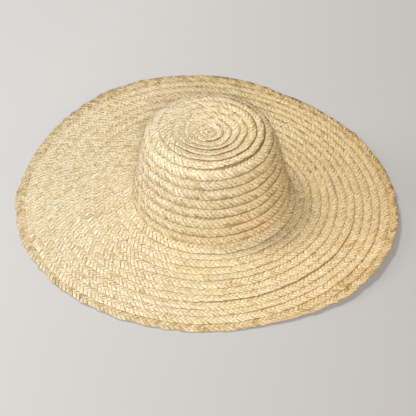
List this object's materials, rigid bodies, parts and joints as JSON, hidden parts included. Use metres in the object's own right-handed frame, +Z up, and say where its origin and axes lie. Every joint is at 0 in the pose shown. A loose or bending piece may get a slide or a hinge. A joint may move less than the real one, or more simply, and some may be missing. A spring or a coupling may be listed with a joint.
{
  "type": "palm leaf hat",
  "caption": "Wide-brimmed sun hat of plaited palm-leaf braid sewn in a spiral, with a round crown, a slightly dished tip and a softly waved brim.",
  "frame": {"origin": "on the plane that the brim stands on, in the middle of the hat's outline", "axes": "+Z up out of the top of the crown; the front of the hat faces -Y"},
  "size_m": [0.45, 0.4536, 0.1113],
  "materials": {
    "palm_leaf": "dried plaited palm leaf, pale straw, matt with a faint leaf sheen",
    "palm_leaf_edge": "dried plaited palm leaf, a little browner, with wider flat strands"
  },
  "bodies": {
    "root": {"crown_tip": "palm_leaf", "crown_shoulder": "palm_leaf", "crown_side": "palm_leaf", "brim_fold": "palm_leaf", "brim": "palm_leaf", "brim_edge": "palm_leaf_edge"}
  },
  "joints": []
}
